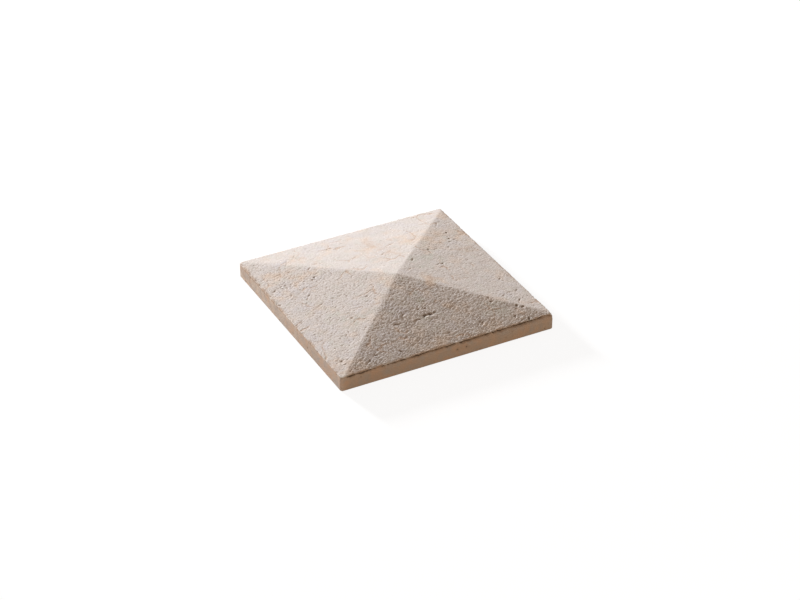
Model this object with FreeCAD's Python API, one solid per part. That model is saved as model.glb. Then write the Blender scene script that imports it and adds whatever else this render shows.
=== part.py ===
"""Pier cap: a square cast slab with a shallow pyramid top, laid on the head of a masonry pier.

The frame has +Z up and its origin in the middle of the underside, which lies on z = 0.
The cap is one casting: upright sides, four equal slopes that shed rain to all sides, hips and
arrises softened by the mould, and a half-round drip groove round the underside, in the overhang
past the pier.
"""
import FreeCAD, Part
import os

# Driving dimensions, in millimetres
SIDE = 500.0             # across the square, from one upright face to the opposite one
EDGE_HEIGHT = 35.0       # from the underside to the line where a slope and its side meet
APEX_HEIGHT = 70.0       # from the underside to the point where the four slopes meet
CORNER_RADIUS = 6.0      # rounding of the upright corners, which runs out up the hips to the apex
TOP_ARRIS_RADIUS = 2.0   # rounding of the edge between the slopes and the sides
BASE_ARRIS_RADIUS = 2.0  # rounding of the edge between the sides and the underside
DRIP_INSET = 25.0        # from a side to the centre line of the drip groove
DRIP_RADIUS = 5.0        # radius of the groove's half-round section
DRIP_BEND_RADIUS = 15.0  # bend of the groove's centre line at its corners

UP = FreeCAD.Vector(0, 0, 1)
SAME_HEIGHT = 1e-4       # difference in height within which an edge counts as level


def rounded_square(side, radius, height):
    """Level outline at one height: a square about the Z axis with round corners."""
    half = side / 2
    straight = half - radius
    crown = straight + radius / 2 ** 0.5
    edges = []
    for quarter in range(4):
        turn = FreeCAD.Rotation(UP, 90 * quarter)
        run_start = turn.multVec(FreeCAD.Vector(half, -straight, height))
        run_end = turn.multVec(FreeCAD.Vector(half, straight, height))
        arc_crown = turn.multVec(FreeCAD.Vector(crown, crown, height))
        arc_end = turn.multVec(FreeCAD.Vector(straight, half, height))
        edges.append(Part.LineSegment(run_start, run_end).toShape())
        edges.append(Part.Arc(run_end, arc_crown, arc_end).toShape())
    return Part.Wire(edges)


def level_edges(solid, height):
    """Edges of a solid that lie level at one height."""
    found = []
    for edge in solid.Edges:
        box = edge.BoundBox
        if abs(box.ZMin - height) < SAME_HEIGHT and abs(box.ZMax - height) < SAME_HEIGHT:
            found.append(edge)
    return found


def slab():
    """Upright block from the underside to the foot of the slopes."""
    return Part.Face(rounded_square(SIDE, CORNER_RADIUS, 0)).extrude(UP * EDGE_HEIGHT)


def pyramid():
    """The four slopes, drawn straight from the slab's outline to the apex.

    Each round corner of the outline tapers to the apex with them, which leaves a hip that is
    soft at its foot and sharp at its top.
    """
    apex = Part.Vertex(FreeCAD.Vector(0, 0, APEX_HEIGHT))
    return Part.makeLoft([rounded_square(SIDE, CORNER_RADIUS, EDGE_HEIGHT), apex], True, True)


def drip_bar():
    """Round bar bent along the drip groove's line, whose upper half is the groove's hollow."""
    line = rounded_square(SIDE - 2 * DRIP_INSET, DRIP_BEND_RADIUS, 0)
    run = line.Edges[0]
    section = Part.makeCircle(DRIP_RADIUS, run.Vertexes[0].Point, run.tangentAt(run.FirstParameter))
    return line.makePipeShell([Part.Wire(section)], True, False)


def pier_cap():
    """The whole casting: slab and pyramid in one, its arrises rounded, its drip groove cut."""
    cap = slab().fuse(pyramid())
    cap = cap.makeFillet(TOP_ARRIS_RADIUS, level_edges(cap, EDGE_HEIGHT))
    cap = cap.makeFillet(BASE_ARRIS_RADIUS, level_edges(cap, 0))
    return cap.cut(drip_bar()).Solids[0]


os.makedirs("parts", exist_ok=True)
pier_cap().exportStep("parts/pier_cap.step")
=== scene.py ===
"""Looks of a cast stone pier cap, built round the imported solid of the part.

The cap is one casting. Its slopes carry a fine pebbled relief with cracks and pits, which ends
in a ragged lip over smooth sides. The whole skin is worked out here as number arrays in metres,
in the frame of the part: +Z up, origin in the middle of the underside.
"""
import logging
import math
from dataclasses import dataclass
from enum import Enum

import bpy
import numpy as np
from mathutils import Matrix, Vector
from numpy.typing import NDArray


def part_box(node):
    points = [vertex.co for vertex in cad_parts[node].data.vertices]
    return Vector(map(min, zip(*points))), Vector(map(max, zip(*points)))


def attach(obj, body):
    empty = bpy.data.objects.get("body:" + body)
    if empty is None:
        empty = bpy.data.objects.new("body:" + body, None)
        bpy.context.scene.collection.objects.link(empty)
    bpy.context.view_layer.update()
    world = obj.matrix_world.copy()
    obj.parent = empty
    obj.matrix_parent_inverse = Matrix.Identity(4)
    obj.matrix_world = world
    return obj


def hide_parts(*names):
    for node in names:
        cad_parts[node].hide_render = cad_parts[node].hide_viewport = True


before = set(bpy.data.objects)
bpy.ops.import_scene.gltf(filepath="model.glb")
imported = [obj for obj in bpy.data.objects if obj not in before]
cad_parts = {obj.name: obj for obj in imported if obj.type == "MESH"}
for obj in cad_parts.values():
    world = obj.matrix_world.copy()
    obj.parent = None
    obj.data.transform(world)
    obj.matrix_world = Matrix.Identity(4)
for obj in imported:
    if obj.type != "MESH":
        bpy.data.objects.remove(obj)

Array = NDArray[np.float64]
Colour = tuple[float, float, float]
Point = tuple[float, float, float]
Feeds = dict[str | int, object]
Socket = bpy.types.NodeSocket

LOG = logging.getLogger("pier_cap")
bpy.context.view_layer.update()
NODE = "pier_cap"
BODY = "root"
MM = 0.001
TINY = 1e-9
SEED = 7
SEED_MIX = 7919
SALT_MIX = 104729
INDEX_MIXES = (374761393, 668265263)
BIT_MIXES = ((13, 1274126177), (16, 2246822519))
LAST_SHIFT = 13
WAVE_GAIN = 1.6


def smooth_step(value: Array, low: float, high: float) -> Array:
    """Rise from 0 where the value is low to 1 where it is high, along the cubic 3t^2 - 2t^3."""
    t = np.clip((value - low) / (high - low), 0.0, 1.0)
    return t * t * (3.0 - 2.0 * t)


class Side(Enum):
    """The four sides of the cap in order round it, each by the direction that it faces."""

    FRONT = (0, -1)
    RIGHT = (1, 0)
    BACK = (0, 1)
    LEFT = (-1, 0)


LEFT_ONLY = tuple(float(side is Side.LEFT) for side in Side)


@dataclass(frozen=True)
class Spots:
    """Points seen from above or on a side, as the arrays of their two coordinates."""

    x: Array
    y: Array


@dataclass(frozen=True)
class Pattern:
    """Seeded lattice noise over a plane, worked out for whole arrays at once.

    Its pitch is the distance between lattice points, and its salt a number that sets it apart from
    the other patterns.
    """

    pitch: float
    salt: int

    def chance(self, i: Array, j: Array, extra: int) -> Array:
        """Random number from 0 to 1 for each lattice point, by mixing its indices' bits.

        Args:
            i: First lattice index of each point.
            j: Second lattice index of each point.
            extra: Number that is added to the salt.

        Returns:
            One number for each lattice point.
        """
        h = np.uint32((SEED * SEED_MIX + (self.salt + extra) * SALT_MIX) % 2**32)
        for index, mix in zip((i, j), INDEX_MIXES):
            h = h + index.astype(np.int64).astype(np.uint32) * np.uint32(mix)
        for shift, mix in BIT_MIXES:
            h = (h ^ (h >> np.uint32(shift))) * np.uint32(mix)
        h = h ^ (h >> np.uint32(LAST_SHIFT))
        return h.astype(np.float64) / 2**32

    def waves(self, at: Spots, extra: int, halvings: int = 0) -> Array:
        """Gradient noise: each lattice point has a random tilt, blended between its neighbours.

        The blend follows the quintic 6t^5 - 15t^4 + 10t^3 from one lattice point to the next.

        Args:
            at: The points.
            extra: Number that is added to the salt.
            halvings: How often the pitch is halved.

        Returns:
            Smooth values from about -1 to 1.
        """
        pitch = self.pitch / 2**halvings
        u, v = at.x / pitch, at.y / pitch
        i, j = np.floor(u), np.floor(v)
        f, g = u - i, v - j
        wf, wg = (t * t * t * (t * (t * 6.0 - 15.0) + 10.0) for t in (f, g))
        total = np.zeros_like(u)
        for di in (0, 1):
            for dj in (0, 1):
                angle = 2.0 * math.pi * self.chance(i + di, j + dj, extra)
                tilt = np.cos(angle) * (f - di) + np.sin(angle) * (g - dj)
                share = (wf if di else 1.0 - wf) * (wg if dj else 1.0 - wg)
                total += share * tilt
        return WAVE_GAIN * total

    def layered(self, at: Spots, layers: int) -> Array:
        """Sum of waves, each layer of half the pitch and half the height of the one before.

        Args:
            at: The points.
            layers: Number of layers.

        Returns:
            Values from about -1 to 1.
        """
        total = sum(self.waves(at, layer, layer) / 2**layer for layer in range(layers))
        return total / (2.0 - 2.0 ** (1 - layers))


@dataclass(frozen=True)
class Wave(Pattern):
    """A random wave: a mean and a swing about it, held between two limits."""

    layers: int = 1
    mean: float = 0.0
    swing: float = 1.0
    least: float = -math.inf
    most: float = math.inf

    def over(self, at: Spots) -> Array:
        """Height of the wave: the mean plus the swing times the layered noise, clipped."""
        return np.clip(self.mean + self.swing * self.layered(at, self.layers), self.least, self.most)


@dataclass(frozen=True)
class Blotches(Pattern):
    """Random blotches: nothing where the noise is below its start, and full above another value."""

    layers: int
    start: float
    full: float

    def over(self, at: Spots) -> Array:
        """Strength of the blotches from 0 to 1, the layered noise eased from start to full."""
        return smooth_step(self.layered(at, self.layers), self.start, self.full)


@dataclass(frozen=True)
class Warp(Pattern):
    """A random shift of points by two waves, one for each direction, about as far as its reach."""

    reach: float

    def over(self, at: Spots) -> Spots:
        """The moved points: to each coordinate is added the reach times a wave of its own."""
        return Spots(at.x + self.reach * self.waves(at, 0), at.y + self.reach * self.waves(at, 1))


@dataclass(frozen=True)
class Scatter(Pattern):
    """Scattered points, one to each lattice square, some margin inside it."""

    margin: float = 0.1
    spread: float = 0.8
    far: float = 9.0

    def over(self, at: Spots) -> tuple[Array, Array, Array]:
        """Distances to the two nearest of the scattered points.

        Args:
            at: The points.

        Returns:
            Distance to the nearest point, distance to the next nearest, and a random number from
            0 to 1 that belongs to the nearest.
        """
        u, v = at.x / self.pitch, at.y / self.pitch
        i, j = np.floor(u), np.floor(v)
        first, second = np.full_like(u, self.far), np.full_like(u, self.far)
        own = np.zeros_like(u)
        for di in (-1, 0, 1):
            for dj in (-1, 0, 1):
                px, py, mark = (self.chance(i + di, j + dj, extra) for extra in (0, 1, 2))
                px, py = i + di + self.margin + self.spread * px, j + dj + self.margin + self.spread * py
                away = np.hypot(u - px, v - py)
                closer = away < first
                second = np.where(closer, first, np.minimum(second, away))
                own = np.where(closer, mark, own)
                first = np.where(closer, away, first)
        return first * self.pitch, second * self.pitch, own


@dataclass(frozen=True)
class Cleft:
    """A short crevice in a slope, or a raised grain where its depth is below zero.

    Its middle, length, depth and half-width are in millimetres, its direction in degrees. It fades
    out from one share of its length to another, on both sides of its middle.
    """

    x: float
    y: float
    length: float
    turn: float
    depth: float
    width: float = 1.5
    fade_start: float = 0.2
    fade_end: float = 0.55

    def carve(self, at: Spots, wander: Array, uneven: Array) -> Array:
        """Depth of the crevice: a bell across its wandering line, fading at both ends.

        Args:
            at: Points of the slope.
            wander: Sideways wander of the line, in metres, at each point.
            uneven: Factor for the depth at each point.

        Returns:
            How far each point is cut down.
        """
        c, s = math.cos(math.radians(self.turn)), math.sin(math.radians(self.turn))
        dx, dy = at.x - self.x * MM, at.y - self.y * MM
        along, across = dx * c + dy * s, dy * c - dx * s - wander
        reach = self.length * MM
        fade = 1.0 - smooth_step(np.abs(along), self.fade_start * reach, self.fade_end * reach)
        return self.depth * MM * uneven * fade * np.exp(-((across / (self.width * MM)) ** 2))


FRONT_CLEFTS = (
    Cleft(-2, -146, 11, 22, 2.9, 2.8), Cleft(6, -146, 9, -5, 2.2, 2.2),
    Cleft(12, -146, 12, 12, 3.1, 2.9), Cleft(21, -145, 9, 20, 1.9, 1.8),
    Cleft(-24, -153, 24, 12, 1.2, 1.6), Cleft(-67, -148, 20, -6, 1.5, 1.9),
    Cleft(-100, -226, 14, -50, 1.4, 1.7), Cleft(-154, -216, 12, -10, 1.4, 1.7),
    Cleft(-175, -229, 26, 32, 1, 1.5), Cleft(92, -211, 22, 42, 1.3, 1.4),
    Cleft(99, -214, 18, 42, 1.1, 1.4), Cleft(18, -213, 12, 20, 1.4, 1.7),
    Cleft(172, -222, 12, 50, 1.6, 1.8), Cleft(178, -212, 8, 80, 0.6, 1.5),
    Cleft(187, -202, 10, 35, 0.7, 1.5), Cleft(196, -240, 11, 50, 2.6, 2.2),
    Cleft(-75, -137, 40, 14, 0.5, 1.5), Cleft(-45, -128, 24, 50, 0.8, 1.5),
    Cleft(-5, -124, 6, 0, 1.4, 1.7), Cleft(8, -127, 6, 30, 1.4, 1.7),
    Cleft(63, -143, 12, 20, 0.8, 1.7), Cleft(150, -162, 10, 10, 1.4, 1.7),
    Cleft(150, -148, 6, 40, 1.6, 2.1), Cleft(193, -192, 8, 20, 2, 2.3),
    Cleft(200, -241, 6, 45, -0.7, 1.5), Cleft(6, -153, 18, 4, -0.5, 1.7),
    Cleft(-60, -215, 40, 25, 0.6, 1.5),
)
LEFT_CLEFTS = (
    Cleft(-149, 91, 6, 40, 1.4, 1.9), Cleft(-142, 97, 6, 60, 1.3, 1.7),
    Cleft(-145, 93, 5, 45, -0.7, 1.3), Cleft(-178, 44, 9, 45, 1, 1.7),
    Cleft(-187, 35, 18, 47, 0.6, 1.2), Cleft(-233, 102, 15, 22, 0.8, 1.3),
    Cleft(-209, 67, 8, 80, 0.7, 1.5), Cleft(-233, -32, 9, -42, 0.4, 1.3),
    Cleft(-205, 152, 26, 6, 0.5, 1.1), Cleft(-236, 155, 12, 20, 0.5, 1.3),
    Cleft(-142, -83, 7, 30, 1, 1.7), Cleft(-135, -75, 6, 60, -0.6, 1.6),
    Cleft(-223, -201, 16, 30, 1.1, 1.5), Cleft(-180, -151, 9, 50, 0.6, 1.3),
    Cleft(-132, -131, 6, 20, 0.6), Cleft(-246, 52, 12, -60, 0.7, 1.5),
    Cleft(-248, -70, 14, 80, 0.8, 1.7),
)
RIGHT_CLEFTS = (
    Cleft(205, 137, 7, 30, 1.5, 2.2), Cleft(203, 180, 20, 60, 1.0, 1.3),
    Cleft(197, 110, 9, 25, 0.8, 1.8), Cleft(207, 105, 7, 20, 0.7, 1.7),
    Cleft(190, 97, 8, 10, 0.7, 1.7), Cleft(212, 98, 7, 40, 0.7, 1.5),
    Cleft(127, 77, 7, 50, 0.9, 1.6), Cleft(148, 75, 22, 4, 0.7, 1.4),
    Cleft(177, 76, 8, 40, 0.9, 1.4), Cleft(71, 46, 14, 50, 1, 1.4),
    Cleft(121, 12, 28, 14, 0.6, 1.2), Cleft(188, 11, 8, 20, 0.9, 1.8),
    Cleft(222, 24, 6, 40, 0.8), Cleft(223, -137, 16, 38, 0.8, 1.4),
    Cleft(206, -139, 8, 20, 0.75), Cleft(188, -148, 20, 45, 0.6, 1.2),
    Cleft(208, -178, 25, 50, 0.9, 1.3), Cleft(217, -83, 24, 42, 0.55, 1.4),
    Cleft(203, -201, 9, 30, 1.8, 2.2),
)
BACK_CLEFTS = (
    Cleft(-140, 205, 16, 30, 0.5, 1.8), Cleft(-166, 184, 34, 60, 0.5, 1.5),
    Cleft(-62, 197, 8, 40, 0.8, 1.7), Cleft(-37, 186, 8, 40, 0.8, 1.7),
    Cleft(-48, 190, 8, 20, -0.4, 1.7), Cleft(150, 165, 14, 60, 0.5, 1.5),
    Cleft(30, 105, 20, 40, 0.5, 1.4), Cleft(45, 134, 14, 30, -0.4, 1.8),
)


@dataclass(frozen=True)
class Patch:
    """A soft round patch on a slope or a side: its middle and its reach, in millimetres."""

    x: float
    y: float
    reach: float


def patches(at: Spots, places: tuple[Patch, ...]) -> Array:
    """Strength of some patches, from 0 to 1: a bell about the middle of each, the strongest counting."""
    squares = (((at.x - p.x * MM) ** 2 + (at.y - p.y * MM) ** 2) / (p.reach * MM) ** 2 for p in places)
    return np.max([np.exp(-square) for square in squares], axis=0)


ROUGH_PATCHES = (
    Patch(95, -212, 34), Patch(-45, -135, 34), Patch(-50, -205, 36), Patch(30, -238, 34),
    Patch(62, -143, 24), Patch(-170, -226, 34), Patch(-100, -228, 12), Patch(5, -122, 26),
    Patch(190, -235, 26), Patch(-215, 108, 26), Patch(-150, -32, 22), Patch(-222, -200, 24),
    Patch(-150, 92, 24), Patch(200, 104, 24), Patch(150, 76, 28), Patch(215, -80, 24),
    Patch(202, -158, 34), Patch(-150, 195, 30), Patch(-45, 190, 26),
)


@dataclass(frozen=True)
class CapShape:
    """Sizes of the cap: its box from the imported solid, its edges as in the part's source."""

    low: Vector
    high: Vector
    edge_height: float = 35.0 * MM
    corner_radius: float = 6.0 * MM
    base_arris: float = 2.0 * MM
    drip_inset: float = 25.0 * MM
    drip_radius: float = 5.0 * MM
    drip_bend: float = 15.0 * MM
    mould_shift: float = 7.6 * MM
    hip_softness: float = 2.0 * MM
    worn_softness: float = 13.0 * MM
    worn_reach: float = 130.0 * MM
    apex_room: float = 0.6 * MM
    hip_blend: float = 4.0 * MM

    @property
    def half(self) -> float:
        """Half the side of the square."""
        return (self.high.x - self.low.x) / 2.0

    @property
    def fall(self) -> float:
        """Fall of a slope for each metre outwards."""
        return (self.high.z - self.edge_height) / self.half

    def slope_height(self, at: Spots) -> Array:
        """Plain pyramid: the apex less the fall times the larger of |x| and |y|.

        The larger of the two is rounded where they are nearly equal, which softens the hips, most
        of all by the worn corner at the left of the back. x is counted from the line of the mould's
        point, a little beside the middle.

        Args:
            at: The points.

        Returns:
            Height of the slopes.
        """
        a, b = np.abs(at.x - self.mould_shift), np.abs(at.y)
        worn = np.exp(-((at.x + self.half) ** 2 + (at.y - self.half) ** 2) / self.worn_reach**2)
        gap = np.sqrt((a - b) ** 2 + (self.hip_softness + self.worn_softness * worn) ** 2)
        return self.high.z - self.apex_room - self.fall * 0.5 * (a + b + gap)

    def outwardness(self, at: Spots) -> Array:
        """How far each point lies from the mould's point towards each side, one array for each side."""
        x = at.x - self.mould_shift
        return np.array([side.value[0] * x + side.value[1] * at.y for side in Side])

    def blend(self, shares: tuple[float, ...], at: Spots) -> Array:
        """One number for each slope, blended over the hips by how far each side outreaches the others.

        Args:
            shares: Numbers of the slopes, in the order of the sides.
            at: The points.

        Returns:
            The number at each point.
        """
        out = self.outwardness(at)
        weight = np.exp((out - out.max(axis=0)) / self.hip_blend)
        sides = np.array(shares).reshape(-1, *([1] * at.x.ndim))
        return (weight * sides).sum(axis=0) / weight.sum(axis=0)

    def corner_turn(self, along: Array) -> tuple[Array, Array]:
        """Where a column of the skin stands on its side: along the straight run or in a corner.

        Args:
            along: Place of each column along its side, from -1 to 1.

        Returns:
            Place along the straight run, from -1 to 1, and the angle turned into a corner.
        """
        straight = 1.0 - self.corner_radius / self.half
        turn = np.clip((np.abs(along) - straight) / (1.0 - straight), 0.0, 1.0)
        return np.clip(along / straight, -1.0, 1.0), np.sign(along) * turn * math.pi / 4.0


@dataclass(frozen=True)
class Relief:
    """The rough relief of the slopes, as heights over the plain pyramid."""

    shape: CapShape
    strengths: tuple[float, ...] = (1.60, 0.75, 0.60, 1.18)
    grain_points: Scatter = Scatter(4.2 * MM, 13)
    grain_warp: Warp = Warp(8.82 * MM, 11, 1.6 * MM)
    grain_patches: Wave = Wave(42.0 * MM, 18, 2, mean=1.0, swing=0.45)
    grain_height: float = 0.32 * MM
    grain_reach: float = 0.62
    grain_level: float = 0.35
    least_grain: float = 0.5
    fine: Wave = Wave(3.6 * MM, 17, swing=0.20 * MM)
    crease_warp: Warp = Warp(12.0 * MM, 71, 2.5 * MM)
    crease_wave: Wave = Wave(11.0 * MM, 73)
    crease_patches: Blotches = Blotches(22.0 * MM, 74, 2, -0.1, 0.35)
    crease_squeeze: float = 1.3
    crease_width: float = 0.16
    crease_depth: float = 0.45 * MM
    ledge_turn: float = 32.0
    left_turn: float = 8.0
    ledge_bend: Wave = Wave(14.5 * MM, 101, 3, swing=1.3)
    ledge_wear: Wave = Wave(11.5 * MM, 105, 2, mean=0.7, swing=1.1, least=0.05, most=1.5)
    ledge_pitch: float = 5.6 * MM
    ledge_height: float = 0.68 * MM
    ledge_drop: float = 0.24
    ledge_share: float = 0.42
    rough_ledges: float = 0.85
    calm_share: float = 0.74
    left_creases: float = 0.5
    left_ledges: float = 0.75
    swell: Wave = Wave(45.0 * MM, 41, 2, swing=0.4 * MM)
    crack_warp: Warp = Warp(30.0 * MM, 21, 11.0 * MM)
    crack_shake: Warp = Warp(9.0 * MM, 23, 2.4 * MM)
    crack_points: Scatter = Scatter(62.0 * MM, 25)
    crack_patches: Blotches = Blotches(55.0 * MM, 28, 2, -0.05, 0.3)
    crack_width: float = 1.2 * MM
    crack_depth: float = 0.4 * MM
    pit_warp: Warp = Warp(6.0 * MM, 31, 1.4 * MM)
    pit_points: Scatter = Scatter(16.0 * MM, 33)
    pit_radius: float = 2.6 * MM
    pit_depth: float = 0.75 * MM
    pit_share: float = 0.15
    least_pit: float = 0.45
    pit_strengths: tuple[float, ...] = (1.0, 0.35, 0.3, 0.9)
    hip_reach: float = 12.0 * MM
    hip_skin: float = 0.6
    hip_pits: float = 0.3
    # Painted shade that greys the roughest slope, the front one that faces away from the key:
    rough_slope_shade_from: float = 0.7
    rough_slope_shade_start: float = 0.2
    rough_slope_shade_high: float = 0.08
    rough_slope_shade_low: float = 0.36
    cleft_wander: Wave = Wave(11.0 * MM, 45, 2, swing=2.6 * MM)
    cleft_depths: Wave = Wave(6.5 * MM, 47, mean=0.95, swing=0.9, least=0.3, most=1.5)
    clefts: tuple[Cleft, ...] = FRONT_CLEFTS + LEFT_CLEFTS + RIGHT_CLEFTS + BACK_CLEFTS

    def strength(self, at: Spots) -> Array:
        """How rough each slope is, blended over the hips."""
        return self.shape.blend(self.strengths, at)

    def rough_slope_shade(self, at: Spots) -> Array:
        """Painted shade on the slopes: only on the roughest one, the front, and more so further down.

        Args:
            at: The points.

        Returns:
            Share of the painted shade's grey.
        """
        roughest = smooth_step(self.strength(at) / max(self.strengths), self.rough_slope_shade_from, 1.0)
        out = self.shape.outwardness(at).max(axis=0)
        down = smooth_step(out, self.rough_slope_shade_start * self.shape.half, self.shape.half)
        return roughest * (self.rough_slope_shade_high + (self.rough_slope_shade_low - self.rough_slope_shade_high) * down)

    def grains(self, at: Spots) -> Array:
        """Pebbled skin: a low dome about each of many scattered points, and a finer wave on it.

        A dome falls off with the cube of the distance from its point, and has a height of its own.

        Args:
            at: The points.

        Returns:
            Height of the grains, about zero on average.
        """
        moved = self.grain_warp.over(at)
        first, _, own = self.grain_points.over(moved)
        away = first / (self.grain_reach * self.grain_points.pitch)
        dome = (self.least_grain + own) * (1.0 - away**3)
        skin = self.grain_height * (dome - self.grain_level) + self.fine.over(moved)
        return self.grain_patches.over(at) * skin

    def creases(self, at: Spots) -> Array:
        """Short sinuous creases along the zero lines of a wave, in small patches.

        Args:
            at: The points.

        Returns:
            Height of the creases, zero or below.
        """
        moved = self.crease_warp.over(at)
        wave = self.crease_wave.over(Spots(moved.x, self.crease_squeeze * moved.y))
        patch = self.crease_patches.over(at)
        return -self.crease_depth * patch * np.exp(-((wave / self.crease_width) ** 2))

    def ledges(self, at: Spots, turn: float) -> Array:
        """Small ledges of one lay, as of split stone: each rises gently and then drops.

        A phase grows across the lay and is bent by slow waves. Its fractional part is the place on
        a ledge, and the height is that part up to the drop and falls straight to zero from there.

        Args:
            at: The points.
            turn: Direction of the lay, in degrees.

        Returns:
            Height of the ledges, about zero on average.
        """
        c, s = math.cos(math.radians(turn)), math.sin(math.radians(turn))
        phase = (at.x * s - at.y * c) / self.ledge_pitch + self.ledge_bend.over(at)
        part = phase - np.floor(phase)
        rise = 1.0 - self.ledge_drop
        saw = np.where(part < rise, part / rise, (1.0 - part) / self.ledge_drop)
        return self.ledge_height * self.ledge_wear.over(at) * (saw - 0.5)

    def cracks(self, at: Spots) -> Array:
        """Wandering cracks, in patches, where two scattered points are equally near.

        Args:
            at: The points.

        Returns:
            Height of the cracks, zero or below.
        """
        moved = self.crack_shake.over(self.crack_warp.over(at))
        first, second, _ = self.crack_points.over(moved)
        away = (second - first) / 2.0
        patch = self.crack_patches.over(at)
        return -self.crack_depth * patch * np.exp(-((away / self.crack_width) ** 2))

    def pits(self, at: Spots) -> Array:
        """Hollows at some of the scattered points, each a bowl of its own width.

        Args:
            at: The points.

        Returns:
            Height of the pits, zero or below.
        """
        moved = self.pit_warp.over(at)
        first, _, own = self.pit_points.over(moved)
        radius = self.pit_radius * (self.least_pit + (1.0 - self.least_pit) * own / self.pit_share)
        bowl = np.clip(1.0 - (first / radius) ** 2, 0.0, 1.0)
        return -self.pit_depth * np.where(own < self.pit_share, bowl, 0.0)

    def height(self, at: Spots) -> Array:
        """Relief of the slopes: swell, grains, creases, ledges, cracks and pits added up.

        The swell and the cracks die out towards the hips, whose lines stay straight, and the rest
        gets lower there. The ledges are higher in the rough patches, and the left slope has a lay of
        its own with lower ledges and creases.

        Args:
            at: The points.

        Returns:
            Height at each point.
        """
        out = np.sort(self.shape.outwardness(at), axis=0)
        calm = smooth_step(out[-1] - out[-2], 0.0, self.hip_reach)
        left = self.shape.blend(LEFT_ONLY, at)
        creases = (1.0 - (1.0 - self.left_creases) * left) * self.creases(at)
        ledges = (1.0 - left) * self.ledges(at, self.ledge_turn)
        ledges += left * self.ledges(at, self.left_turn)
        ledges *= 1.0 - (1.0 - self.left_ledges) * left
        ledges *= self.ledge_share + self.rough_ledges * patches(at, ROUGH_PATCHES)
        skin = self.strength(at) * (self.calm_share * (self.grains(at) + creases) + ledges)
        pits = self.shape.blend(self.pit_strengths, at) * self.pits(at)
        total = calm * (self.swell.over(at) + self.cracks(at))
        total += (self.hip_skin + (1.0 - self.hip_skin) * calm) * skin
        return total + (self.hip_pits + (1.0 - self.hip_pits) * calm) * pits

    def carved(self, at: Spots) -> Array:
        """Depth of the clefts, all added up, below zero on raised grains.

        Args:
            at: The points.

        Returns:
            How far each point is cut down.
        """
        wander = self.cleft_wander.over(at)
        uneven = self.cleft_depths.over(at)
        return sum(cleft.carve(at, wander, uneven) for cleft in self.clefts)


@dataclass(frozen=True)
class EdgePoint:
    """The lip of the rough relief at one place round the cap.

    The place counts sides from the front's left end. The lip stands back from the face by its
    inset, and the groove under it is cut in further by its depth. Above zero, the side below is
    paler there than the rest: painted light, with a greyer dusty tint. Below zero it is darker:
    painted shade. The lip hangs down over the side by its own thickness.
    """

    place: float
    inset: float
    groove: float
    tone: float
    hang: float = 1.1 * MM


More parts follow.
